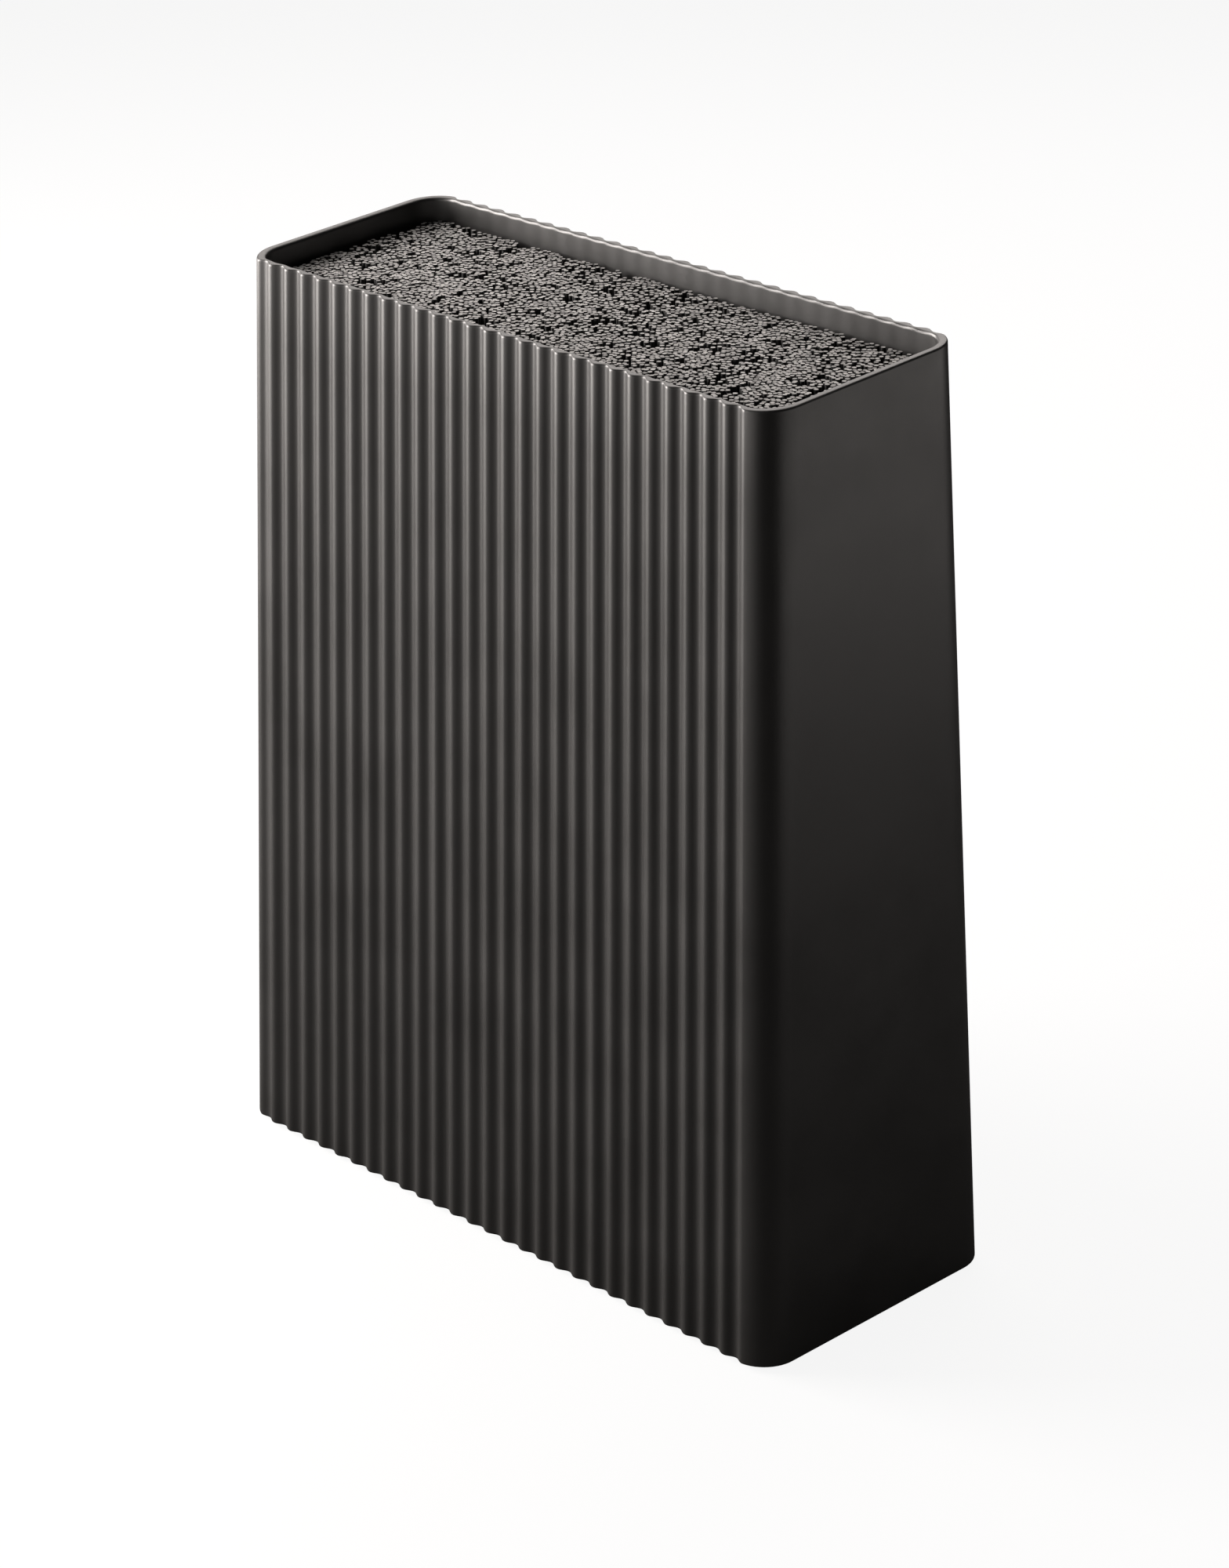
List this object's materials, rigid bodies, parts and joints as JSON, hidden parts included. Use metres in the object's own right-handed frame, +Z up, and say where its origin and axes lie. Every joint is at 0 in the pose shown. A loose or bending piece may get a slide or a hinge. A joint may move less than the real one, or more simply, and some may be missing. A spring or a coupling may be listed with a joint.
{
  "type": "knife block",
  "caption": "Slim upright knife block: tapered casing with fluted long faces, open sloping top, and a lift-out insert of upright bristle rods that hold blades pushed in from above.",
  "frame": {"origin": "middle of the footprint, on the surface that the rubber feet stand on", "axes": "+Z up; X along the block's length; -Y is the front fluted face, +Y the back one, towards which the rim rises"},
  "size_m": [0.1784, 0.0748, 0.2215],
  "materials": {
    "casing_plastic": "fine matte",
    "base_plastic": "matte",
    "screw_steel": "zinc plated",
    "foot_rubber": "matte",
    "tray_plastic": "matte",
    "rod_plastic": "satin"
  },
  "bodies": {
    "casing": {"outer_shell": "casing_plastic", "base_plate": "base_plastic", "base_screw_1": "screw_steel", "base_screw_2": "screw_steel", "base_screw_3": "screw_steel", "base_screw_4": "screw_steel", "rubber_foot_1": "foot_rubber", "rubber_foot_2": "foot_rubber", "rubber_foot_3": "foot_rubber", "rubber_foot_4": "foot_rubber"},
    "insert": {"bristle_tray": "tray_plastic", "rod_root_mat": "rod_plastic", "bristle_row_1": "rod_plastic", "bristle_row_2": "rod_plastic", "bristle_row_3": "rod_plastic", "bristle_row_4": "rod_plastic", "bristle_row_5": "rod_plastic", "bristle_row_6": "rod_plastic"}
  },
  "joints": [
    {"name": "insert_lift", "type": "slide", "parent": "casing", "child": "insert", "axis": [0, 0, 1], "range_m": [0, 0.218]}
  ]
}
